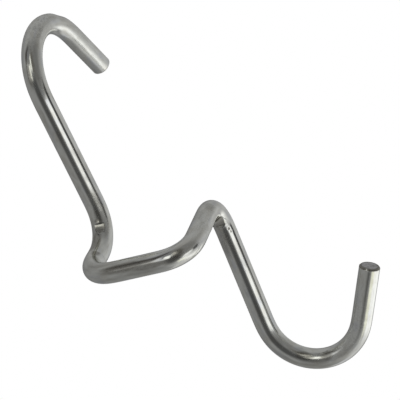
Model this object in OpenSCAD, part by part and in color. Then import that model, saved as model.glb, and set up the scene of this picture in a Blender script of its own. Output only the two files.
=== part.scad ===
// A bucket hook for a ladder: one round steel rod, bent cold.
//
// The top hook goes over a rung. The rod then hangs down in front of the rung, jogs forward,
// across and back to get past the ladder's side rail, and ends in a hook for a bucket's handle
// that opens away from the ladder.
//
// Millimetres. The origin is on the rung's axis, in the plane of the top hook. X runs along the
// rung towards the bucket, Y points through the ladder towards the wall, and Z is up.

/* [Rod] */
// Diameter of the round steel rod
rod_d = 8; // [6:0.5:10]
// Bevel filed round each sawn end
end_bevel = 0.5; // [0.2:0.1:1]

/* [Rung hook] */
// Clear width inside the hook that goes over the rung
rung_gap = 34; // [25:0.5:45]
// Angle that the hook wraps round the rung
rung_wrap_angle = 150.5; // [120:0.5:175]
// Straight free end behind the rung
rung_tip_l = 22.5; // [5:0.5:40]
// Straight shank that hangs down in front of the rung
front_shank_l = 46.5; // [30:0.5:80]

/* [Jog past the side rail] */
// Inside radius of the two bends at the front of the jog
jog_inside_r = 10.5; // [8:0.5:14]
// How far the foot of the front shank turns forward
forward_angle = 89; // [80:0.5:95]
// Straight between the two front bends
jog_straight_l = 3; // [1:0.5:20]
// How far the rod then turns sideways, along the rung
sideways_angle = 87.5; // [80:0.5:95]
// Clear width between the legs of the jog, from corner to corner
rail_gap = 38.5; // [34:0.5:60]
// Inside radius of the two bends at the back of the jog
return_inside_r = 5; // [4:0.5:8]
// How far the rod turns back towards the ladder
backward_angle = 98; // [90:0.5:105]
// Straight leg that runs back past the side rail
return_l = 22; // [15:0.5:40]
// How far the rod turns down, past square so that the bucket hangs forward
downward_angle = 98; // [90:0.5:105]

/* [Bucket hook] */
// Straight shank above the bucket hook
bucket_shank_l = 43.5; // [30:0.5:80]
// Clear width inside the hook that carries the bucket's handle
bucket_gap = 31; // [20:0.5:45]
// Angle that the bucket hook wraps
bucket_wrap_angle = 151.5; // [120:0.5:175]
// Straight free end of the bucket hook
bucket_tip_l = 24; // [5:0.5:40]

/* [Hidden] */
$fn = 72;
steel = [0.68, 0.69, 0.67];

// Bend radii at the middle of the rod
rung_r = (rung_gap + rod_d) / 2;
jog_r = jog_inside_r + rod_d / 2;
return_r = return_inside_r + rod_d / 2;
bucket_r = (bucket_gap + rod_d) / 2;

// The bar's straight is what the bends at its two corners leave of the gap for the side rail
bar_l = rail_gap + rod_d - jog_r * tan(sideways_angle / 2) - return_r * tan(backward_angle / 2);

// The rod is laid down piece by piece. Each module starts at the middle of the rod, heading
// along its own +Z, and places its children where it ends.

// How far a turn's sine and cosine, to a millionth, are from making a true rotation
function rounding(turn) =
    abs(pow(round(1e6 * cos(turn)) / 1e6, 2) + pow(round(1e6 * sin(turn)) / 1e6, 2) - 1);

// A turn moved by no more than 0.005 degrees to where that is least, so that what follows a bend
// keeps the size of what comes before it and their faces meet exactly
function true_turn(turn) =
    let (tries = [for (k = [-50:50]) turn + k / 10000], errors = [for (t = tries) rounding(t)])
    tries[search(min(errors), errors)[0]];

// A straight stretch
module straight(length) {
    cylinder(d = rod_d, h = length);
    translate([0, 0, length]) children();
}

// Moves to where a bend ends
module past_bend(radius, turn) {
    translate([radius, 0, 0]) rotate([0, true_turn(turn), 0]) translate([-radius, 0, 0]) children();
}

// A bend towards +X: half a ring, cut off square where the next piece starts
module bend(radius, turn) {
    difference() {
        translate([radius, 0, 0]) rotate([-90, 0, 0]) rotate([0, 0, 180])
            rotate_extrude(angle = 180) translate([radius, 0]) circle(d = rod_d);
        past_bend(radius, turn) translate([-rod_d, -rod_d, 0])
            cube([2 * (radius + rod_d), 2 * rod_d, radius + rod_d]);
    }
    past_bend(radius, turn) children();
}

// Turns the rod about its own length, so that the next bend leaves the plane of the last
module roll(turn) {
    rotate([0, 0, turn]) children();
}

// A straight stretch to a sawn end with a bevelled rim
module free_end(length) {
    straight(length - end_bevel)
        cylinder(d1 = rod_d, d2 = rod_d - 2 * end_bevel, h = end_bevel);
}

// Over the rung and down behind it
module rung_hook() {
    bend(rung_r, rung_wrap_angle)
    free_end(rung_tip_l);
}

// Forward, across in front of the side rail, and back again
module rail_jog() {
    bend(jog_r, forward_angle)
    straight(jog_straight_l) roll(-90)
    bend(jog_r, sideways_angle)
    straight(bar_l)
    bend(return_r, backward_angle)
    straight(return_l) roll(-90)
    bend(return_r, downward_angle)
    children();
}

// Down, and round into the hook for the bucket's handle
module bucket_hook() {
    straight(bucket_shank_l) roll(-90)
    bend(bucket_r, bucket_wrap_angle)
    free_end(bucket_tip_l);
}

// The whole rod, laid both ways from the top of the front shank
module hook() {
    color(steel) translate([0, -rung_r, 0]) {
        rotate([0, 0, 90]) rung_hook();
        rotate([180, 0, -90]) straight(front_shank_l) rail_jog() bucket_hook();
    }
}

hook();
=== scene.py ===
"""Looks for a ladder bucket hook: one round rod of drawn steel, bent cold and thinly plated.

The rod is swept along its bent middle line by Geometry Nodes and stands for the CAD node.
Every finish reads where its point lay on the rod before it was bent, so that the drawing lines
follow the steel round each bend. Lengths are in metres, apart from the small marks and the
finishes, which are in millimetres. Angles are in degrees.
"""

import logging
import math
from dataclasses import dataclass, field
from enum import Enum
from functools import cache
from typing import Callable

import bpy
from mathutils import Matrix, Vector


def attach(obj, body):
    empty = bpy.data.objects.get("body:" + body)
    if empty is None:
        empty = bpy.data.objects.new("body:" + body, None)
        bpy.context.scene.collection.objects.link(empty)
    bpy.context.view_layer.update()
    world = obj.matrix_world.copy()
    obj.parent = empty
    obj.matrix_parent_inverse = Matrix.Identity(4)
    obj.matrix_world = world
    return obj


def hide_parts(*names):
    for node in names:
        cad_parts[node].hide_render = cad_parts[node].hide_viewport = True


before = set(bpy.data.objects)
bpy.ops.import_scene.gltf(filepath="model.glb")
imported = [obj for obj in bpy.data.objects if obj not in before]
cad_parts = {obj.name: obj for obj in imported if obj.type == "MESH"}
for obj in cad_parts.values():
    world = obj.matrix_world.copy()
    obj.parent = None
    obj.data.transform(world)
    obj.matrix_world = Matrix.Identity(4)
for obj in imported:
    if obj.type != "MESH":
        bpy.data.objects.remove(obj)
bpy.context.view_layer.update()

log = logging.getLogger("bucket_hook")

MM = 0.001
BODY = "root"
NODE = "hook"

Socket = bpy.types.NodeSocket
Sockets = bpy.types.bpy_prop_collection


class RodData(Enum):
    """What each point of the rod carries for the sweep and the finishes: its name and kind."""

    STRAIGHTENED = ("straightened", "FLOAT_VECTOR")
    STRETCH = ("stretch", "FLOAT")
    ALONG = ("along", "FLOAT")
    SCALE = ("ring_scale", "FLOAT")
    RIM = ("rim", "FLOAT_VECTOR")
    INWARD = ("inward", "FLOAT_VECTOR")
    # Painted shade in the marks' hollows and on the sawn ends' bevels
    MARK_SHADE = ("pressed", "FLOAT")
    # Staining and painted shade from the zones
    STAIN_AND_SHADE = ("stain_and_shade", "FLOAT")
    WORN = ("worn", "FLOAT")

    def __init__(self, label: str, kind: str) -> None:
        """Keeps the attribute's name and its data type."""
        self.label = label
        self.kind = kind

    def put_on(self, mesh: bpy.types.Mesh, values: list[float]) -> None:
        """Gives every point of a mesh its value, from one flat list."""
        part = "vector" if self.kind == "FLOAT_VECTOR" else "value"
        mesh.attributes.new(self.label, self.kind, "POINT").data.foreach_set(part, values)


class Sharpness(Enum):
    """How finely the rod is divided: the spacing of its rings and the sides of each."""

    DRAFT = (1.2 * MM, 48)
    FULL = (0.40 * MM, 92)

    def __init__(self, ring_spacing: float, sides: int) -> None:
        """Keeps the distance between two rings and the number of points round each."""
        self.ring_spacing = ring_spacing
        self.sides = sides


@dataclass(frozen=True)
class Colour:
    """A linear colour, and how strongly it covers what it is laid over."""

    red: float
    green: float
    blue: float
    cover: float = 1.0

    def rgba(self) -> tuple[float, float, float, float]:
        """The colour itself, as a socket takes it."""
        return (self.red, self.green, self.blue, 1.0)


WHITE = Colour(1.0, 1.0, 1.0)
LAMPLIGHT = Colour(1.0, 1.0, 0.94)


def turn_about(axis: str, angle: float) -> Matrix:
    """The turn about an axis by an angle."""
    return Matrix.Rotation(math.radians(angle), 4, axis)


def in_scene(name: str, data: bpy.types.ID) -> bpy.types.Object:
    """Makes an object at the origin and puts it in the scene.

    Args:
        name: Its name.
        data: Its mesh or camera.

    Returns:
        The new object.
    """
    thing = bpy.data.objects.new(name, data)
    bpy.context.scene.collection.objects.link(thing)
    return thing


# ---------- Node trees ----------


@dataclass
class NodeSheet:
    """Places nodes in a tree and joins them, for shaders and Geometry Nodes alike.

    Attributes:
        tree: The tree that the nodes go into.
    """

    tree: bpy.types.NodeTree

    @classmethod
    def cleared(cls, owner: bpy.types.ID) -> "NodeSheet":
        """Starts the sheet of a new material or world.

        Args:
            owner: The material or world.

        Returns:
            Its sheet, with nothing on it.
        """
        owner.use_nodes = True
        owner.node_tree.nodes.clear()
        return cls(owner.node_tree)

    def feed(self, socket: Socket, value: object) -> None:
        """Joins another socket to an input, or gives the input a value.

        Args:
            socket: The input.
            value: The other socket, or the value.
        """
        if isinstance(value, Socket):
            self.tree.links.new(value, socket)
        else:
            socket.default_value = value

    def add(self, kind: str, feeds: dict | None = None, **settings: object) -> bpy.types.Node:
        """Adds one node.

        Args:
            kind: The node's type.
            feeds: What goes into its sockets, by name or index: another socket, or a value.
            **settings: Properties of the node itself.

        Returns:
            The new node.
        """
        node = self.tree.nodes.new(kind)
        for setting, value in settings.items():
            setattr(node, setting, value)
        for key, value in (feeds or {}).items():
            self.feed(node.inputs[key], value)
        return node

    def result(self, kind: str, feeds: dict | None = None, output: int | str = 0,
               **settings: object) -> Socket:
        """Adds one node, as add does, and returns the output of that name or index."""
        return self.add(kind, feeds, **settings).outputs[output]

    def math(self, operation: str, *values: object) -> Socket:
        """Works out one operation on sockets and numbers."""
        return self.result("ShaderNodeMath", dict(enumerate(values)), operation=operation)

    def times(self, first: Socket, second: object) -> Socket:
        """Multiplies a socket by another, or by a number."""
        return self.math("MULTIPLY", first, second)

    def vector(self, operation: str, *values: object, output: str = "Vector") -> Socket:
        """Works out one operation on vectors.

        Args:
            operation: The operation's name.
            *values: Its operands, each a socket, a vector or, for a scale, a number.
            output: The name of the output that is wanted.

        Returns:
            The socket of the result.
        """
        node = self.add("ShaderNodeVectorMath", operation=operation)
        for socket, value in zip([s for s in node.inputs if s.enabled], values):
            self.feed(socket, value)
        return node.outputs[output]

    def ramp(self, value: Socket, none: float, full: float) -> Socket:
        """Makes a soft mask of a value: 0 at none and beyond, 1 at full and beyond."""
        feeds = {"Value": value, "From Min": none, "From Max": full}
        return self.result("ShaderNodeMapRange", feeds, "Result", interpolation_type="SMOOTHSTEP")

    def noise(self, point: Socket, scale: object, detail: float = 2.0,
              roughness: float = 0.5, distortion: float = 0.0) -> Socket:
        """Adds a noise about 0.5 and returns its factor.

        Args:
            point: Where the noise is read.
            scale: How many features there are to a unit.
            detail: How many finer layers are added.
            roughness: How strong the finer layers are.
            distortion: How far the pattern is pulled about.

        Returns:
            The socket of the noise's factor.
        """
        feeds = {"Vector": point, "Scale": scale, "Detail": detail, "Roughness": roughness,
                 "Distortion": distortion}
        return self.result("ShaderNodeTexNoise", feeds, "Fac")

    def lay_over(self, under: object, mask: Socket, tint: Colour) -> Socket:
        """Lays a tint over a colour where a mask says, and returns the new colour."""
        feeds = {0: self.times(mask, tint.cover), 6: under, 7: tint.rgba()}
        return self.result("ShaderNodeMix", feeds, 2, data_type="RGBA")

    def stretched(self, point: Socket, lengthen: float) -> Socket:
        """Draws a pattern out along the rod, by moving the point at which it is read."""
        return self.vector("MULTIPLY", point, (1.0, 1.0, 1.0 / lengthen))

    def effect(self, group: bpy.types.NodeTree, **inputs: object) -> Sockets:
        """Places an effect group, with its inputs by name, and returns its outputs."""
        return self.add("ShaderNodeGroup", inputs, node_tree=group).outputs

    def put_out(self, **outputs: Socket) -> bpy.types.NodeTree:
        """Ends an effect group with its masks and heights.

        Args:
            **outputs: What it puts out, by name.

        Returns:
            The finished group.
        """
        for label in outputs:
            self.tree.interface.new_socket(label, in_out="OUTPUT", socket_type="NodeSocketFloat")
        self.add("NodeGroupOutput", outputs)
        return self.tree

    def carried(self, data: RodData, output: str = "Fac") -> Socket:
        """Reads what the rod's points carry, inside a material."""
        return self.result("ShaderNodeAttribute", output=output, attribute_name=data.label)

    def read(self, data: RodData) -> Socket:
        """Reads what the points carry, inside Geometry Nodes."""
        return self.result("GeometryNodeInputNamedAttribute", {"Name": data.label}, "Attribute",
                           data_type=data.kind)

    def store(self, shape: Socket, data: RodData, value: Socket) -> Socket:
        """Gives the points of a shape something to carry, and returns the shape."""
        feeds = {"Geometry": shape, "Name": data.label, "Value": value}
        return self.result("GeometryNodeStoreNamedAttribute", feeds, data_type=data.kind, domain="POINT")

    def metal(self, colour: Socket, rough: Socket, height: Socket) -> None:
        """Ends a material as bare metal.

        Args:
            colour: Its colour.
            rough: Its roughness.
            height: The height of its fine marks, in millimetres.
        """
        bump = self.result("ShaderNodeBump", {"Height": height, "Strength": 1.0, "Distance": MM})
        skin = self.result("ShaderNodeBsdfPrincipled", {"Base Color": colour, "Metallic": 1.0,
                                                        "Roughness": rough, "Normal": bump})
        self.add("ShaderNodeOutputMaterial", {"Surface": skin})


def effect_group(name: str, **inputs: float) -> tuple[NodeSheet, Sockets]:
    """Starts a shader node group for an effect that reads a point on the straightened rod.

    Args:
        name: The group's name.
        **inputs: Its number inputs and their usual values.

    Returns:
        The sheet, and the sockets of the group's inputs.
    """
    tree = bpy.data.node_groups.new(name, "ShaderNodeTree")
    tree.interface.new_socket("Point", in_out="INPUT", socket_type="NodeSocketVector")
    for label, usual in inputs.items():
        socket = tree.interface.new_socket(label, in_out="INPUT", socket_type="NodeSocketFloat")
        socket.default_value = usual
    sheet = NodeSheet(tree)
    return sheet, sheet.add("NodeGroupInput").outputs


@cache
def drawing_lines() -> bpy.types.NodeTree:
    """The fine lines that a drawing die leaves along a rod.

    Returns:
        A group that puts out the lines' height and a mask of the deeper ones.
    """
    sheet, given = effect_group("drawing_lines", Lines=5.0, Length=60.0)
    squeeze = sheet.math("DIVIDE", 1.0, given["Length"])
    scale = sheet.result("ShaderNodeCombineXYZ", {"X": 1.0, "Y": 1.0, "Z": squeeze})
    point = sheet.vector("MULTIPLY", given["Point"], scale)
    fine = sheet.noise(point, given["Lines"], detail=3.0, roughness=0.6)
    broad = sheet.noise(point, scale=0.8, detail=1.0)
    fine_share = 0.6
    height = sheet.math("ADD", sheet.times(fine, fine_share), sheet.times(broad, 1.0 - fine_share))
    return sheet.put_out(Height=height, Deep=sheet.ramp(fine, none=0.60, full=0.72))


@cache
def orange_peel() -> bpy.types.NodeTree:
    """The coarse grain that comes up where cold steel has been stretched or squeezed.

    Returns:
        A group that puts out the grain's height, how patchy it is and a mask of its pores.
    """
    sheet, given = effect_group("orange_peel", Grain=1.6)
    grain = sheet.noise(given["Point"], given["Grain"], detail=2.5, roughness=0.55)
    patches = sheet.noise(given["Point"], scale=0.22, detail=1.5)
    pores = sheet.noise(given["Point"], scale=1.25, detail=2.0, roughness=0.6)
    return sheet.put_out(Height=grain, Patches=sheet.ramp(patches, none=0.35, full=0.65),
                         Pores=sheet.ramp(pores, none=0.50, full=0.62))


@cache
def handling_marks() -> bpy.types.NodeTree:
    """Rubs, fine cross scratches and pin-prick pits from handling.

    Returns:
        A group that puts out the depth of the marks, and a mask of the rubbed places.
    """
    sheet, given = effect_group("handling_marks", Amount=1.0)
    point = given["Point"]
    rubbed = sheet.noise(sheet.stretched(point, 3.0), scale=0.35, detail=3.0, roughness=0.6,
                         distortion=0.6)
    cells = sheet.result("ShaderNodeTexVoronoi", {"Vector": point, "Scale": 0.55}, "Distance", feature="F1")
    slanted = sheet.result("ShaderNodeMapping", {"Vector": point, "Rotation": (0.5, 0.7, 0.2),
                                                 "Scale": (0.25, 6.0, 3.0)})
    scratch = sheet.ramp(sheet.noise(slanted, scale=1.0, detail=1.0), none=0.70, full=0.76)
    scratch_depth = 0.4
    depth = sheet.math("MAXIMUM", sheet.ramp(cells, none=0.13, full=0.05),
                       sheet.times(scratch, scratch_depth))
    depth = sheet.times(depth, given["Amount"])
    return sheet.put_out(Depth=depth, Rubbed=sheet.ramp(rubbed, none=0.46, full=0.66))


@cache
def plating_stains() -> bpy.types.NodeTree:
    """The uneven tint of a thin plating, and the small dark specks in it.

    Returns:
        A group that puts out masks of the warm places, the cool places and the specks.
    """
    sheet, given = effect_group("plating_stains", Size=0.3)
    point = sheet.stretched(given["Point"], 2.2)
    warm = sheet.noise(point, given["Size"], detail=3.0, roughness=0.65)
    elsewhere = (17.0, 5.0, 31.0)
    cool = sheet.noise(sheet.vector("ADD", point, elsewhere), given["Size"], detail=2.0)
    specks = sheet.noise(sheet.stretched(given["Point"], 1.5), scale=1.9, detail=3.0, roughness=0.7)
    return sheet.put_out(Warm=sheet.ramp(warm, none=0.42, full=0.68),
                         Cool=sheet.ramp(cool, none=0.50, full=0.72),
                         Specks=sheet.ramp(specks, none=0.52, full=0.70))


# ---------- Finishes ----------


def rod_material(name: str) -> tuple[bpy.types.Material, NodeSheet, Socket]:
    """Starts a material for the rod.

    Args:
        name: Its name.

    Returns:
        The material, its sheet, and where its point lay on the straightened rod, in millimetres.
    """
    material = bpy.data.materials.new(name)
    sheet = NodeSheet.cleared(material)
    point = sheet.vector("SCALE", sheet.carried(RodData.STRAIGHTENED, "Vector"), 1.0 / MM)
    return material, sheet, point


@dataclass(frozen=True)
class DrawnSteel:
    """Bright drawn steel under a thin clear plating, the skin of the whole rod.

    Attributes:
        bright: Colour of the clean metal.
        warm: Colour where the plating is yellowish.
        cool: Colour where it is bluish.
        dull: Colour where handling has rubbed it dull.
        pore: Colour of the small pores that open in the grain.
        stain_and_shade_colour: Colour laid over the zones of staining, the marks' hollows and the bevels:
            partly real staining, partly painted shade that dims their reflections.
        tint_size: How many warm and cool places there are to a millimetre.
        lines: How many drawing lines there are to a millimetre.
        line_length: How many times longer than wide they are.
        grain: How many grains there are to a millimetre.
        pore_gather: Power that keeps the pores to the most worked places.
        speckle: How much of the staining and painted shade its specks break up.
        strain_shows: Strain at which the grain starts to come up.
        strain_full: Strain at which it has come up all the way.
        bend_grain: How far a bend brings it up, against a place that is worn through.
        patchiness: How much of the grain comes and goes in patches.
        polish: Roughness of the straight rod.
        matt: Roughness where a bend has brought up the grain.
        rub_rough: How much rougher the rubbed places are.
        line_rough: How much rougher the deeper drawing lines are.
        stain_and_shade_rough: How much rougher the places of staining and painted shade are.
        line_depth: Depth of the drawing lines.
        grain_depth: Depth of the grain on a bend.
        pit_depth: Depth of the pits and scratches.
    """

    bright: Colour = Colour(0.85, 0.86, 0.82)
    warm: Colour = Colour(0.72, 0.71, 0.65, cover=0.8)
    cool: Colour = Colour(0.70, 0.72, 0.75, cover=0.7)
    dull: Colour = Colour(0.56, 0.56, 0.52, cover=0.45)
    pore: Colour = Colour(0.30, 0.29, 0.27, cover=0.35)
    stain_and_shade_colour: Colour = Colour(0.25, 0.235, 0.20)
    tint_size: float = 0.3
    lines: float = 3.2
    line_length: float = 60.0
    grain: float = 1.7
    pore_gather: float = 1.5
    speckle: float = 0.35
    strain_shows: float = 0.16
    strain_full: float = 0.45
    bend_grain: float = 0.6
    patchiness: float = 0.4
    polish: float = 0.10
    matt: float = 0.27
    rub_rough: float = 0.06
    line_rough: float = 0.05
    stain_and_shade_rough: float = 0.12
    line_depth: float = 0.0022
    grain_depth: float = 0.04
    pit_depth: float = 0.012

    def material(self) -> bpy.types.Material:
        """Builds the material.

        Returns:
            The new material.
        """
        material, sheet, point = rod_material("drawn_steel")
        lines = sheet.effect(drawing_lines(), Point=point, Lines=self.lines, Length=self.line_length)
        peel = sheet.effect(orange_peel(), Point=point, Grain=self.grain)
        marks = sheet.effect(handling_marks(), Point=point, Amount=1.0)
        tints = sheet.effect(plating_stains(), Point=point, Size=self.tint_size)

        strain = sheet.math("MAXIMUM", sheet.carried(RodData.STRETCH), 0.0)
        worked = sheet.times(sheet.ramp(strain, self.strain_shows, self.strain_full), self.bend_grain)
        worked = sheet.math("MAXIMUM", worked, sheet.carried(RodData.WORN))
        patchy = sheet.math("MULTIPLY_ADD", peel["Patches"], self.patchiness, 1.0 - self.patchiness)
        worked = sheet.times(worked, patchy)
        pores = sheet.times(sheet.math("POWER", worked, self.pore_gather), peel["Pores"])
        broken = sheet.math("MULTIPLY_ADD", tints["Specks"], self.speckle, 1.0 - self.speckle)
        # Staining and painted shade: the zones are partly real staining and partly painted shade over
        # reflections; the marks' hollows and the bevels are painted shade.
        stain_and_shade = sheet.times(sheet.carried(RodData.STAIN_AND_SHADE), broken)
        stain_and_shade = sheet.math("MAXIMUM", stain_and_shade, sheet.carried(RodData.MARK_SHADE))

        colour = self.bright.rgba()
        for mask, tint in ((tints["Warm"], self.warm), (tints["Cool"], self.cool),
                           (marks["Rubbed"], self.dull), (pores, self.pore), (stain_and_shade, self.stain_and_shade_colour)):
            colour = sheet.lay_over(colour, mask, tint)

        rough = sheet.math("MULTIPLY_ADD", worked, self.matt - self.polish, self.polish)
        for mask, rise in ((marks["Rubbed"], self.rub_rough), (lines["Deep"], self.line_rough),
                           (stain_and_shade, self.stain_and_shade_rough)):
            rough = sheet.math("MULTIPLY_ADD", mask, rise, rough)

        height = sheet.times(lines["Height"], self.line_depth)
        grain = sheet.times(peel["Height"], sheet.times(worked, self.grain_depth))
        pits = sheet.times(marks["Depth"], -self.pit_depth)
        height = sheet.math("ADD", sheet.math("ADD", height, grain), pits)
        sheet.metal(colour, rough, height)
        return material


@dataclass(frozen=True)
class SawnSteel:
    """The dull face that a saw leaves across the end of the rod.

    Attributes:
        face: Colour of the cut.
        shade: Colour of the darker places on it.
        shade_size: How many of them there are to a millimetre.
        rim: Colour of the burr's dirt round its edge.
        rim_width: How far in from the edge the dirt reaches.
        rim_ragged: How far its inner edge wanders.
        rim_past: How far out past the cut's radius it is at its full.
        radius: Radius of the cut.
        tooth_scale: How fine the saw's lines are: along them, across them and into the rod.
        tooth_depth: Depth of the saw's lines.
        tooth_rough: How much rougher their crests are.
        roughness: Roughness of the cut.
    """

    face: Colour = Colour(0.66, 0.66, 0.67)
    shade: Colour = Colour(0.40, 0.40, 0.38, cover=0.9)
    shade_size: float = 0.55
    # rim: Colour of the burr's grime round its edge.
    rim: Colour = Colour(0.20, 0.20, 0.17)
    rim_width: float = 0.9
    rim_ragged: float = 0.5
    rim_past: float = 0.2
    radius: float = 3.5
    tooth_scale: tuple[float, float, float] = (0.4, 4.0, 0.0)
    tooth_depth: float = 0.05
    tooth_rough: float = 0.15
    roughness: float = 0.42

    def material(self) -> bpy.types.Material:
        """Builds the material.

        Returns:
            The new material.
        """
        material, sheet, point = rod_material("sawn_steel")
        marks = sheet.effect(handling_marks(), Point=point, Amount=1.0)
        tints = sheet.effect(plating_stains(), Point=point, Size=self.shade_size)
        teeth = sheet.noise(sheet.vector("MULTIPLY", point, self.tooth_scale), scale=1.0, detail=3.0,
                            roughness=0.6, distortion=0.4)

        across = (1.0, 1.0, 0.0)
        out = sheet.vector("LENGTH", sheet.vector("MULTIPLY", point, across), output="Value")
        out = sheet.math("MULTIPLY_ADD", tints["Specks"], self.rim_ragged, out)
        edge = sheet.ramp(out, self.radius - self.rim_width, self.radius + self.rim_past)
        colour = sheet.lay_over(self.face.rgba(), tints["Warm"], self.shade)
        colour = sheet.lay_over(colour, edge, self.rim)
        rough = sheet.math("MULTIPLY_ADD", teeth, self.tooth_rough, self.roughness)
        height = sheet.times(teeth, self.tooth_depth)
        height = sheet.math("MULTIPLY_ADD", marks["Depth"], -self.tooth_depth, height)
        sheet.metal(colour, rough, height)
        return material


# ---------- The rod's line ----------


@dataclass
class RodPoint:
    """A point of the rod's middle line.

    Attributes:
        axes: The rod's own axes there: Z is ahead, X is where it bends to.
        along: How far along the rod it is.
        tightness: The rod's radius over the bend's, or 0 on a straight.
        scale: How much of the rod's radius it has.
    """

    axes: Matrix
    along: float
    tightness: float = 0.0
    scale: float = 1.0


@dataclass
class RodPath:
    """The rod's middle line, laid down stretch by stretch as a bender works.

    Attributes:
        place: The rod's own axes where the line has got to.
        radius: Radius of the rod.
        spacing: Distance between two points of the line.
        points: The line so far.
        reached: Length laid down so far.
    """

    place: Matrix
    radius: float
    spacing: float
    points: list[RodPoint] = field(default_factory=list)
    reached: float = 0.0

    def ahead(self, length: float) -> Matrix:
        """The rod's axes a length straight ahead."""
        return self.place @ Matrix.Translation((0, 0, length))

    def past_bend(self, radius: float, angle: float) -> Matrix:
        """The rod's axes past a bend of a radius and an angle, towards the path's own X."""
        out, back = (Matrix.Translation((x, 0, 0)) for x in (radius, -radius))
        return self.place @ out @ turn_about("Y", angle) @ back

    def lay(self, length: float, where: Callable[[float], Matrix], tightness: float) -> "RodPath":
        """Lays down one stretch.

        Args:
            length: How long it is.
            where: Gives the rod's axes at a share of it.
            tightness: The rod's radius over the bend's, or 0 on a straight.

        Returns:
            The path itself.
        """
        steps = max(1, round(length / self.spacing))
        for share in ((k + 1) / steps for k in range(steps)):
            self.points.append(RodPoint(where(share), self.reached + length * share, tightness))
        self.place = where(1.0)
        self.reached += length
        return self

    def straight(self, length: float) -> "RodPath":
        """Goes straight on."""
        return self.lay(length, lambda share: self.ahead(length * share), 0.0)

    def bend(self, radius: float, angle: float) -> "RodPath":
        """Bends towards the path's own X, to a radius at the middle of the rod."""
        length = math.radians(angle) * radius
        return self.lay(length, lambda share: self.past_bend(radius, angle * share), self.radius / radius)

    def roll(self, angle: float) -> "RodPath":
        """Turns about the rod's own length, so that the next bend leaves the plane of the last."""
        self.place = self.place @ turn_about("Z", angle)
        return self

    def free_end(self, length: float, bevel: float, softening: float, steps: int = 4) -> "RodPath":
        """Goes straight on to a sawn end, whose rim is bevelled and then worn soft.

        Args:
            length: How far.
            bevel: How wide and how deep the bevel is.
            softening: Radius to which the bevel's two corners are worn.
            steps: How many rings go round each corner.

        Returns:
            The path itself.
        """
        slope = 45.0
        corner = softening * math.tan(math.radians(slope / 2))
        self.straight(length - bevel - corner)
        chord = 2 * softening * math.sin(math.radians(slope / 2 / steps))
        walk = [(slope * (k + 0.5) / steps, chord) for k in range(2 * steps)]
        walk.insert(steps, (slope, bevel * math.sqrt(2) - 2 * corner))
        gone = drop = 0.0
        for turn, step in walk:
            gone += step * math.cos(math.radians(turn))
            drop += step * math.sin(math.radians(turn))
            self.points.append(RodPoint(self.ahead(gone), self.reached + gone,
                                        scale=1.0 - drop / self.radius))
        return self

    def ease(self, length: float) -> None:
        """Spreads each change from straight to bend over a length, as cold steel does of itself.

        Args:
            length: The length that the change is spread over.
        """
        reach = round(length / 2 / self.spacing)
        centres = [point.axes.to_translation() for point in self.points]
        bends = [point.tightness for point in self.points]
        for k in range(reach, len(centres) - reach):
            near = slice(k - reach, k + reach + 1)
            if any(bends[near]):
                self.points[k].axes.translation = sum(centres[near], Vector()) / (2 * reach + 1)


# ---------- The marks on its skin, in millimetres ----------


@dataclass(frozen=True)
class SkinPoint:
    """A point of the rod's skin.

    Attributes:
        along: Where it is along the rod.
        outward: Which way it faces, in the rod's own axes.
        radius: Radius of the rod.
    """

    along: float
    outward: Vector
    radius: float


@dataclass(frozen=True)
class PinMark:
    """A flat that the bender's pin pressed into the inside of a bend.

    It has a straight shoulder where the pin's own end stood, and runs out into the round of the
    rod at its other end, so that its outline is a D.

    Attributes:
        shoulder: Where the shoulder is along the rod.
        run_out: Where the flat runs out.
        depth: How deep it is at the shoulder.
        skew: How far round from the inside of the bend its middle lies, at the shoulder.
        slant: How much further round its middle lies where it runs out.
        fullness: Power of the curve in which it runs out.
        lip: Length of the step up from the shoulder.
        painted_shade: How dark its hollow is painted where it is deepest, from 0 to 1: painted shade.
    """

    shoulder: float
    run_out: float
    depth: float
    skew: float
    slant: float
    fullness: float
    lip: float
    painted_shade: float

    def push(self, point: SkinPoint) -> Vector:
        """How far the mark moves a point of the skin.

        Args:
            point: The point.

        Returns:
            The move, in the rod's own axes.
        """
        share = (point.along - self.shoulder) / (self.run_out - self.shoulder)
        before = -share * abs(self.run_out - self.shoulder) / self.lip
        if share > 1.0 or before > 1.0:
            return Vector()
        deep = self.depth * (1.0 - share ** self.fullness if share > 0.0 else 1.0 - before)
        turn = math.radians(self.skew + self.slant * max(0.0, share))
        facing = Vector((math.cos(turn), math.sin(turn), 0.0))
        return -facing * max(0.0, point.radius * point.outward.dot(facing) - (point.radius - deep))


@dataclass(frozen=True)
class Spot:
    """A place on the rod's skin.

    Attributes:
        along: Middle of the place along the rod.
        around: How far round from the inside of the last bend it is.
    """

    along: float
    around: float

    def away(self, point: SkinPoint, half_length: float, half_width: float) -> float:
        """How far a point is from the middle of the spot.

        Args:
            point: The point.
            half_length: Half the spot's length, along the rod.
            half_width: Half its width, round the rod.

        Returns:
            From 0, in the middle, to 1, at its rim and beyond.
        """
        ahead = (point.along - self.along) / half_length
        if abs(ahead) > 1.0:
            return 1.0
        turn = math.degrees(math.atan2(point.outward.y, point.outward.x)) - self.around
        aside = point.radius * math.radians((turn + 180.0) % 360.0 - 180.0) / half_width
        return min(1.0, math.hypot(ahead, aside))


@dataclass(frozen=True)
class Dent(Spot):
    """A small round dent or pit.

    Attributes:
        size: Its radius.
        depth: How deep it is.
        painted_shade: How dark its hollow is painted where it is deepest, from 0 to 1: painted shade.
    """

    size: float
    depth: float
    painted_shade: float

    def push(self, point: SkinPoint) -> Vector:
        """How far the dent moves a point of the skin, in the rod's own axes."""
        return -point.outward * self.depth * (1.0 - self.away(point, self.size, self.size) ** 2) ** 2


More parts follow.
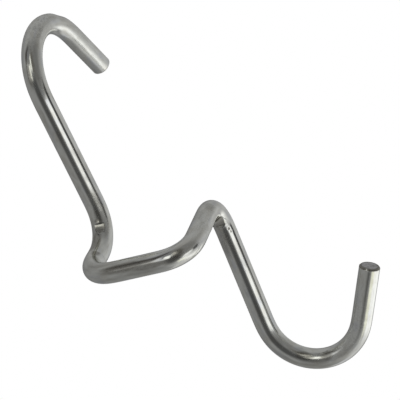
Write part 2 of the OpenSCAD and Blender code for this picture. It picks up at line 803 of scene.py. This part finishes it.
@dataclass(frozen=True)
class Zone(Spot):
    """An oval place on the skin that is darkened or worn: one of the first list darkens the colour, partly
    as real staining and partly as painted shade, and one of the worn list roughens it.

    Attributes:
        half_length: Half its length.
        half_width: Half its width.
        strength: How strongly it darkens or wears the skin, from 0 to 1.
        firmness: How steeply it comes in from its rim.
    """

    half_length: float
    half_width: float
    strength: float
    firmness: float = 2.5

    def cover(self, point: SkinPoint) -> float:
        """How much of the zone's darkening or wear a point of the skin has, from 0 to 1."""
        inside = 1.0 - self.away(point, self.half_length, self.half_width)
        return self.strength * min(1.0, self.firmness * inside)


# ---------- The rod ----------


@dataclass
class BucketHook:
    """The whole rod: the rung hook, the jog past the side rail and the bucket hook.

    The bends' radii are inside ones, as a bender's former has them. Places of marks, of staining
    and painted shade, and of wear are in millimetres along the rod, from the top of the front shank towards
    the bucket hook.
    """

    rod_diameter: float = 8.0 * MM
    end_bevel: float = 0.5 * MM
    end_softening: float = 0.3 * MM

    rung_gap: float = 34.0 * MM
    rung_wrap_angle: float = 150.5
    rung_tip: float = 22.5 * MM
    front_shank: float = 46.5 * MM

    jog_inside_radius: float = 10.5 * MM
    forward_angle: float = 89.0
    jog_straight: float = 3.0 * MM
    sideways_angle: float = 87.5
    rail_gap: float = 38.5 * MM
    return_inside_radius: float = 5.0 * MM
    backward_angle: float = 98.0
    return_leg: float = 22.0 * MM
    downward_angle: float = 98.0

    bucket_shank: float = 43.5 * MM
    bucket_gap: float = 31.0 * MM
    bucket_wrap_angle: float = 151.5
    bucket_tip: float = 24.0 * MM

    # Each bend comes in over this length
    easing: float = 8.0 * MM
    # The strain of a bend fades into the straights beside it over this length
    fade: float = 3.0 * MM
    # How deep the bender's rollers and the plating bath leave the skin uneven
    unevenness: float = 0.03 * MM
    # How many times longer than wide that unevenness is, and how many waves it has to a millimetre
    wave_length: float = 2.5
    wave_scale: float = 0.25

    # Each mark darkens its hollow, more where it is deeper: painted shade
    marks: tuple[PinMark | Dent, ...] = (
        # The short flat on the rung hook's crown
        Dent(along=-45.0, around=-147.0, size=4.4, depth=0.32, painted_shade=0.0),
        # The pins of the forward bend and of the downward bend, and two pits beside the second
        PinMark(shoulder=54.4, run_out=59.8, depth=0.50, skew=-17.0, slant=0.0, fullness=3.0,
                lip=0.22, painted_shade=0.55),
        PinMark(shoulder=167.4, run_out=158.9, depth=0.50, skew=-3.0, slant=-23.0, fullness=5.0,
                lip=0.8, painted_shade=0.72),
        Dent(along=170.3, around=-41.0, size=0.75, depth=0.16, painted_shade=1.0),
        Dent(along=171.7, around=-46.0, size=0.55, depth=0.12, painted_shade=1.0),
        # The lower end's rim
        Dent(along=287.9, around=82.0, size=0.7, depth=0.16, painted_shade=0.0),
    )
    # Each zone gives along, around, half length, half width and strength. These zones are partly real
    # staining and partly painted shade: they darken the colour to dim the tent's reflections.
    stains_and_painted_shade: tuple[Zone, ...] = (
        # The rung hook, just above the front shank
        Zone(-13.0, -113.0, 11.0, 2.6, 0.45),
        Zone(-9.0, -174.0, 4.5, 1.2, 0.9),
        Zone(-2.0, -120.0, 14.0, 2.0, 0.4),
        # The front shank's foot and the forward bend
        Zone(44.5, -58.0, 7.0, 2.2, 0.5),
        Zone(51.0, -20.0, 5.5, 1.8, 0.5),
        Zone(53.0, -15.0, 1.9, 2.2, 1.0),
        Zone(54.9, -18.0, 0.8, 3.0, 0.5),
        Zone(56.6, -44.0, 2.6, 0.5, 0.9),
        Zone(56.6, -13.0, 0.4, 2.2, 0.7),
        Zone(57.0, 30.0, 9.0, 2.4, 0.4),
        Zone(58.9, -19.0, 0.55, 2.5, 1.0),
        Zone(64.5, -21.0, 6.5, 0.8, 0.7),
        Zone(65.0, 3.0, 9.0, 2.5, 0.95),
        # The sideways bend and the bar
        Zone(73.0, 58.0, 3.5, 2.2, 0.9),
        Zone(88.0, 100.0, 14.0, 1.6, 0.4),
        Zone(101.0, 141.0, 12.5, 2.2, 0.95),
        Zone(111.5, 165.0, 8.0, 1.5, 0.75),
        # The backward bend and the return leg
        Zone(122.2, 152.0, 2.1, 2.0, 0.85),
        Zone(144.6, 92.0, 5.0, 2.5, 0.3),
        Zone(152.5, 132.0, 4.0, 2.4, 0.4),
        # The downward bend and the top of the bucket shank
        Zone(163.0, 150.0, 6.0, 3.0, 0.6),
        Zone(167.5, -2.0, 0.6, 3.4, 0.9),
        Zone(172.5, 36.0, 11.0, 4.0, 0.6),
        # The bucket hook
        Zone(233.8, 57.0, 4.8, 2.1, 1.0),
        Zone(237.5, 88.0, 7.0, 1.6, 0.4),
        Zone(243.5, 60.0, 3.4, 2.2, 0.85),
    )
    worn: tuple[Zone, ...] = (
        Zone(-62.0, -50.0, 22.0, 14.0, 0.42),
        Zone(-29.0, -155.0, 13.0, 6.0, 1.0),
        Zone(45.0, -42.0, 10.0, 6.0, 0.45),
        Zone(58.0, -55.0, 6.5, 2.4, 0.9),
        Zone(142.0, 110.0, 18.0, 7.0, 0.8),
        Zone(172.0, 30.0, 12.0, 4.0, 0.8),
        Zone(262.0, 70.0, 20.0, 4.5, 0.6),
    )
    # How deep a mark is where its painted shade is at full strength, in millimetres
    full_shade_depth: float = 0.12
    # How dark the bevel round each sawn end is painted: painted shade that dims its glints
    bevel_shade: float = 0.85

    sharpness: Sharpness = Sharpness.FULL
    skin: DrawnSteel = DrawnSteel()
    cut: SawnSteel = SawnSteel()

    def middle_line(self) -> RodPath:
        """Lays the rod down from the rung hook's free end to the bucket hook's.

        Returns:
            The rod's middle line.
        """
        radius = self.rod_diameter / 2
        rung = (self.rung_gap + self.rod_diameter) / 2
        jog = self.jog_inside_radius + radius
        back = self.return_inside_radius + radius
        bucket = (self.bucket_gap + self.rod_diameter) / 2
        bar = (self.rail_gap + self.rod_diameter
               - jog * math.tan(math.radians(self.sideways_angle / 2))
               - back * math.tan(math.radians(self.backward_angle / 2)))
        shank_top = Matrix.Translation((0, -rung, 0))
        spacing = self.sharpness.ring_spacing
        end = (self.end_bevel, self.end_softening)

        up = RodPath(shank_top @ turn_about("Z", 90), radius, spacing)
        up.bend(rung, self.rung_wrap_angle).free_end(self.rung_tip, *end)
        for point in up.points:
            point.along = -point.along

        down = RodPath(shank_top @ turn_about("Z", -90) @ turn_about("X", 180), radius, spacing)
        down.points = up.points[::-1] + [RodPoint(down.place, 0.0)]
        down.straight(self.front_shank)
        down.bend(jog, self.forward_angle).straight(self.jog_straight).roll(-90)
        down.bend(jog, self.sideways_angle).straight(bar).bend(back, self.backward_angle)
        down.straight(self.return_leg).roll(-90).bend(back, self.downward_angle)
        down.straight(self.bucket_shank).roll(-90).bend(bucket, self.bucket_wrap_angle)
        down.free_end(self.bucket_tip, *end)
        down.ease(self.easing)
        return down

    def faded(self, path: RodPath) -> list[Vector]:
        """Spreads each bend's strain a little way into the straights beside it.

        Args:
            path: The rod's middle line.

        Returns:
            The strain's direction and size at each point.
        """
        strains = [point.axes.to_3x3().col[0] * point.tightness for point in path.points]
        reach = max(1, round(self.fade / path.spacing))
        result = []
        for k in range(len(strains)):
            near = strains[max(0, k - reach):k + reach + 1]
            result.append(sum(near, Vector()) / len(near))
        return result

    def line_object(self, path: RodPath) -> bpy.types.Object:
        """Makes the middle line a mesh of edges that carries what the sweep needs.

        Args:
            path: The rod's middle line.

        Returns:
            The line's object.
        """
        mesh = bpy.data.meshes.new("rod_line")
        edges = [(k, k + 1) for k in range(len(path.points) - 1)]
        mesh.from_pydata([point.axes.to_translation() for point in path.points], edges, [])
        RodData.ALONG.put_on(mesh, [point.along for point in path.points])
        RodData.SCALE.put_on(mesh, [point.scale for point in path.points])
        RodData.INWARD.put_on(mesh, [part for strain in self.faded(path) for part in strain])
        return in_scene("rod_line", mesh)

    def sweep_tree(self) -> bpy.types.NodeTree:
        """Builds the Geometry Nodes that sweep the rod's section along its middle line.

        Returns:
            The tree.
        """
        tree = bpy.data.node_groups.new("rod_sweep", "GeometryNodeTree")
        for name, kind in (("Geometry", "Geometry"), ("Rod Radius", "Float"), ("Unevenness", "Float"),
                           ("Sides", "Int"), ("Skin", "Material"), ("Cut", "Material")):
            tree.interface.new_socket(name, in_out="INPUT", socket_type="NodeSocket" + kind)
        tree.interface.new_socket("Geometry", in_out="OUTPUT", socket_type="NodeSocketGeometry")
        sheet = NodeSheet(tree)
        given = sheet.add("NodeGroupInput").outputs

        # The section's points are noted at radius 1, before it takes the rod's radius
        section = sheet.result("GeometryNodeCurvePrimitiveCircle",
                               {"Resolution": given["Sides"], "Radius": 1.0}, "Curve")
        section = sheet.store(section, RodData.RIM, sheet.result("GeometryNodeInputPosition"))
        to_radius = sheet.result("ShaderNodeCombineXYZ", dict.fromkeys("XYZ", given["Rod Radius"]))
        section = sheet.result("GeometryNodeTransform", {"Geometry": section, "Scale": to_radius})
        line = sheet.result("GeometryNodeMeshToCurve", {"Mesh": given["Geometry"]})
        ring_scale = sheet.read(RodData.SCALE)
        shape = sheet.result("GeometryNodeCurveToMesh", {"Curve": line, "Profile Curve": section,
                                                         "Scale": ring_scale, "Fill Caps": True})

        rim = sheet.vector("SCALE", sheet.read(RodData.RIM), sheet.times(ring_scale, given["Rod Radius"]))
        ahead = sheet.result("ShaderNodeCombineXYZ", {"Z": sheet.read(RodData.ALONG)})
        shape = sheet.store(shape, RodData.STRAIGHTENED, sheet.vector("ADD", rim, ahead))

        normal = sheet.result("GeometryNodeInputNormal")
        squeeze = sheet.vector("DOT_PRODUCT", normal, sheet.read(RodData.INWARD), output="Value")
        shape = sheet.store(shape, RodData.STRETCH, sheet.times(squeeze, -1.0))

        # The skin is only ever pressed in, never raised, so the rod keeps within its true size
        in_mm = sheet.vector("SCALE", sheet.read(RodData.STRAIGHTENED), 1.0 / MM)
        waves = sheet.noise(sheet.stretched(in_mm, self.wave_length), self.wave_scale)
        pressed = sheet.times(sheet.times(waves, -1.0), given["Unevenness"])
        nearly_full = 0.999
        on_side = sheet.math("GREATER_THAN", ring_scale, nearly_full)
        shape = sheet.result("GeometryNodeSetPosition",
                             {"Geometry": shape, "Selection": on_side,
                              "Offset": sheet.vector("SCALE", normal, pressed)})

        # The skin is all quads, and only the two caps have more corners
        quad = 4
        corners = sheet.result("GeometryNodeInputMeshFaceNeighbors", output="Vertex Count")
        is_cap = sheet.result("FunctionNodeCompare", {2: corners, 3: quad}, data_type="INT",
                              operation="GREATER_THAN")
        is_skin = sheet.result("FunctionNodeBooleanMath", {0: is_cap}, operation="NOT")
        shape = sheet.result("GeometryNodeSetShadeSmooth", {"Geometry": shape, "Shade Smooth": is_skin},
                             domain="FACE")
        shape = sheet.result("GeometryNodeRealizeInstances", {"Geometry": shape})
        shape = sheet.result("GeometryNodeSetMaterial", {"Geometry": shape, "Material": given["Skin"]})
        shape = sheet.result("GeometryNodeSetMaterial", {"Geometry": shape, "Selection": is_cap,
                                                         "Material": given["Cut"]})
        sheet.add("NodeGroupOutput", {"Geometry": shape})
        return tree

    def build(self) -> bpy.types.Object:
        """Sweeps the rod and makes it a plain mesh.

        Returns:
            The rod's object.
        """
        path = self.middle_line()
        line = self.line_object(path)
        tree = self.sweep_tree()
        sweep = line.modifiers.new("sweep", "NODES")
        sweep.node_group = tree
        values = {
            "Rod Radius": self.rod_diameter / 2,
            "Unevenness": self.unevenness,
            "Sides": self.sharpness.sides,
            "Skin": self.skin.material(),
            "Cut": self.cut.material(),
        }
        for socket in tree.interface.items_tree:
            if socket.in_out == "INPUT" and socket.name in values:
                sweep[socket.identifier] = values[socket.name]
        graph = bpy.context.evaluated_depsgraph_get()
        mesh = bpy.data.meshes.new_from_object(line.evaluated_get(graph), depsgraph=graph)
        line.modifiers.remove(sweep)
        bpy.data.objects.remove(line)
        mesh.name = "bent_rod"
        self.mark(mesh, path)
        return in_scene("bent_rod", mesh)

    def mark(self, mesh: bpy.types.Mesh, path: RodPath) -> None:
        """Presses the bender's marks into the skin, and notes the painted shade in the marks and on the
        bevels, and what each zone of staining, painted shade or wear covers.

        Args:
            mesh: The swept rod, ring after ring.
            path: The rod's middle line, one point for each ring.
        """
        radius = self.rod_diameter / 2 / MM
        pressed, stain_and_shade, worn = [], [], []
        for vertex in mesh.vertices:
            ring = path.points[vertex.index // self.sharpness.sides]
            outward = (ring.axes.inverted_safe() @ vertex.co).normalized()
            point = SkinPoint(ring.along / MM, outward, radius)
            # The bevels are darkened too: painted shade over their glints
            painted_shade = self.bevel_shade if ring.scale < 1.0 else 0.0
            for mark in self.marks:
                push = mark.push(point)
                vertex.co += ring.axes.to_3x3() @ push * MM
                # Painted shade: the colour darkens as the mark presses deeper
                painted_shade += (mark.painted_shade - painted_shade) * min(1.0, push.length / self.full_shade_depth)
            pressed.append(painted_shade)
            stain_and_shade.append(max(zone.cover(point) for zone in self.stains_and_painted_shade))
            worn.append(max(zone.cover(point) for zone in self.worn))
        RodData.MARK_SHADE.put_on(mesh, pressed)
        RodData.STAIN_AND_SHADE.put_on(mesh, stain_and_shade)
        RodData.WORN.put_on(mesh, worn)


# ---------- The studio ----------


@dataclass(frozen=True)
class ClothPatch:
    """A lighter or darker place on the cloth of the studio tent, as seen from the hook.

    Attributes:
        azimuth: Direction of its middle, from +Y towards +X.
        elevation: Height of its middle above level.
        half_width: Half its width.
        half_height: Half its height.
        glow: How bright it is.
        soft: Width of its soft edge.
        tint: Its colour.
        steep: Elevation, up or down, past which it narrows as all azimuths come together.
    """

    azimuth: float
    elevation: float
    half_width: float
    half_height: float
    glow: float
    soft: float
    tint: Colour = WHITE
    steep: float = 70.0

    def cover(self, azimuth: float, elevation: float) -> float:
        """How much of the patch lies in one direction.

        Args:
            azimuth: The direction's azimuth.
            elevation: The direction's elevation.

        Returns:
            From 0, none, to 1, all.
        """
        aside = abs((azimuth - self.azimuth + 180.0) % 360.0 - 180.0)
        aside *= min(1.0, math.cos(math.radians(elevation)) / math.cos(math.radians(self.steep)))
        above = abs(elevation - self.elevation)
        return self.edge(self.half_width - aside) * self.edge(self.half_height - above)

    def edge(self, inside: float) -> float:
        """How much of the patch there is this far inside its edge."""
        t = min(1.0, max(0.0, 0.5 + inside / self.soft))
        return t * t * (3.0 - 2.0 * t)


@dataclass
class Studio:
    """A white room, a pale floor under the hook and a tent of cloth that the metal reflects."""

    middle: Vector = field(default_factory=lambda: Vector((0.045, -0.013, -0.056)))
    tent_radius: float = 2.0
    tent_rows: int = 90
    cloth_glow: float = 0.20
    # Each patch gives azimuth, elevation, half width, half height, glow and soft edge
    patches: tuple[ClothPatch, ...] = (
        ClothPatch(-96, 6, 68, 35, 0.24, 22),  # Left wall
        ClothPatch(5, 22, 56, 60, 0.33, 40),  # Back wall
        ClothPatch(-62, 60, 34, 16, 0.33, 26),  # Ceiling
        ClothPatch(15, -20, 77, 13, 0.51, 58),  # Right wall
        ClothPatch(-90, -87, 100, 30, 0.27, 50),  # Left floor
        ClothPatch(115, -62, 71, 45, 0.52, 60),  # Near floor
        ClothPatch(10, -78, 80, 12, 0.60, 22),  # Floor by the backdrop
        ClothPatch(69, -52, 58, 13, 1.12, 30),  # White table
        ClothPatch(136, -39, 17, 9, 1.02, 5, Colour(1.0, 1.0, 0.86)),  # Lamp by the table
        ClothPatch(124, -29, 20, 7, 0.88, 4),  # Below the window
        ClothPatch(174, -40, 16, 12, 0.30, 16),  # End of the table
        ClothPatch(77.5, -12, 12, 10, 0.06, 4),  # Window frame
        ClothPatch(113, -14, 18, 6, 1.04, 5),  # Window
        ClothPatch(163, 1, 24, 29, 0.072, 24),  # Dark room
        ClothPatch(-123, 60, 14, 22, 0.06, 20, Colour(1.0, 0.9, 0.82)),  # Dark corner
        ClothPatch(-112, 36, 18, 10, 0.29, 14),  # Wall beside the corner
        ClothPatch(131, 51, 17, 16, 0.13, 26, Colour(1.0, 0.96, 0.88)),  # Dark upper wall
        ClothPatch(156, 53, 10, 13, 0.90, 8, LAMPLIGHT),  # Lamp's shade
        ClothPatch(184, 39.5, 12, 12, 1.2, 6, LAMPLIGHT),  # Lamp over the camera
        ClothPatch(-148, 40, 8, 11, 0.60, 8),  # Lamp's streak
        ClothPatch(-155, 32, 16, 5, 0.62, 8),  # Lamp's arm
        ClothPatch(-45, -14, 32, 24, 0.20, 20),  # Dark backdrop
    )
    floor_height: float = -0.34
    floor_radius: float = 0.30
    floor_fade: float = 0.20
    floor_rim: float = 0.01
    floor_sides: int = 96
    floor_colour: Colour = Colour(0.86, 0.86, 0.86)

    def world(self) -> None:
        """Makes the room white all round, at the level at which a colour renders as written."""
        world = bpy.data.worlds.new("white_room")
        sheet = NodeSheet.cleared(world)
        light = sheet.result("ShaderNodeBackground", {"Color": WHITE.rgba(), "Strength": 1.0})
        sheet.add("ShaderNodeOutputWorld", {"Surface": light})
        bpy.context.scene.world = world

    def tent(self) -> bpy.types.Object:
        """Hangs the cloth: a globe of soft light and dark that only reflections see.

        Returns:
            The tent's object.
        """
        rows, columns = self.tent_rows, 2 * self.tent_rows
        points, glows, faces = [], [], []
        for row in range(rows + 1):
            elevation = 90.0 - 180.0 * row / rows
            for column in range(columns):
                azimuth = 360.0 * column / columns
                up, turn = math.radians(elevation), math.radians(azimuth)
                ray = Vector((math.cos(up) * math.sin(turn), math.cos(up) * math.cos(turn), math.sin(up)))
                points.append(self.middle + self.tent_radius * ray)
                glows.extend(self.cloth(azimuth, elevation))
        for row in range(rows):
            above, below = row * columns, (row + 1) * columns
            for column in range(columns):
                after = (column + 1) % columns
                faces.append((above + column, above + after, below + after, below + column))
        mesh = bpy.data.meshes.new("tent")
        mesh.from_pydata(points, [], faces)
        mesh.attributes.new("glow", "FLOAT_COLOR", "POINT").data.foreach_set("color", glows)
        mesh.polygons.foreach_set("use_smooth", [True] * len(faces))

        material = bpy.data.materials.new("tent_cloth")
        sheet = NodeSheet.cleared(material)
        glow = sheet.result("ShaderNodeAttribute", output="Color", attribute_name="glow")
        light = sheet.result("ShaderNodeEmission", {"Color": glow, "Strength": 1.0})
        sheet.add("ShaderNodeOutputMaterial", {"Surface": light})
        material.cycles.emission_sampling = "NONE"
        mesh.materials.append(material)

        tent = in_scene("tent", mesh)
        tent.visible_camera = False
        tent.visible_diffuse = False
        tent.visible_shadow = False
        return tent

    def cloth(self, azimuth: float, elevation: float) -> tuple[float, float, float, float]:
        """The cloth's light in one direction.

        Args:
            azimuth: The direction's azimuth.
            elevation: The direction's elevation.

        Returns:
            Its colour.
        """
        light = Vector((1.0, 1.0, 1.0)) * self.cloth_glow
        for patch in self.patches:
            shine = Vector(patch.tint.rgba()[:3]) * patch.glow
            light = light.lerp(shine, patch.cover(azimuth, elevation))
        return (*light, 1.0)

    def floor(self) -> bpy.types.Object:
        """Lays a pale round floor that fades into the white room.

        Returns:
            The floor's object.
        """
        sides = self.floor_sides
        points = [Vector((self.middle.x, self.middle.y, self.floor_height))]
        for k in range(sides):
            turn = 2 * math.pi * k / sides
            points.append(points[0] + self.floor_radius * Vector((math.cos(turn), math.sin(turn), 0)))
        faces = [(0, 1 + k, 1 + (k + 1) % sides) for k in range(sides)]
        mesh = bpy.data.meshes.new("floor")
        mesh.from_pydata(points, [], faces)

        material = bpy.data.materials.new("pale_floor")
        sheet = NodeSheet.cleared(material)
        here = sheet.result("ShaderNodeTexCoord", output="Object")
        away = sheet.vector("DISTANCE", here, tuple(points[0]), output="Value")
        fade = sheet.ramp(away, self.floor_radius - self.floor_fade, self.floor_radius - self.floor_rim)
        pale = sheet.result("ShaderNodeBsdfDiffuse", {"Color": self.floor_colour.rgba()})
        clear = sheet.result("ShaderNodeBsdfTransparent")
        cover = sheet.result("ShaderNodeMixShader", {0: fade, 1: pale, 2: clear})
        sheet.add("ShaderNodeOutputMaterial", {"Surface": cover})
        mesh.materials.append(material)
        floor = in_scene("floor", mesh)
        floor.visible_glossy = False
        return floor


@dataclass
class Viewpoint:
    """The camera, by where it stands and how it leans."""

    place: tuple[float, float, float] = (0.32057, -0.52391, 0.14985)
    turn: tuple[float, float, float] = (68.423, 23.835, 19.882)
    lens: float = 147.29
    sensor: float = 36.0
    nearest: float = 0.01

    def build(self) -> bpy.types.Object:
        """Stands the camera up and makes it the scene's own.

        Returns:
            The camera's object.
        """
        data = bpy.data.cameras.new("camera")
        data.lens = self.lens
        data.sensor_width = self.sensor
        data.clip_start = self.nearest
        camera = in_scene("camera", data)
        camera.location = self.place
        camera.rotation_euler = [math.radians(angle) for angle in self.turn]
        bpy.context.scene.camera = camera
        return camera


def main() -> None:
    """Builds the camera, the studio and the rod, hangs the rod under the root body and hides the CAD node.
    """
    logging.basicConfig(level=logging.INFO, format="%(name)s: %(message)s")
    Viewpoint().build()
    studio = Studio()
    studio.world()
    for piece in (studio.tent(), studio.floor()):
        log.info("stage %s", piece.name)

    sharpness = Sharpness.FULL
    rod = BucketHook(sharpness=sharpness).build()
    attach(rod, BODY)
    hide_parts(NODE)
    log.info("piece %s: %d faces", rod.name, len(rod.data.polygons))

    bpy.context.scene.view_settings.view_transform = "Standard"


if __name__ == "__main__":
    main()
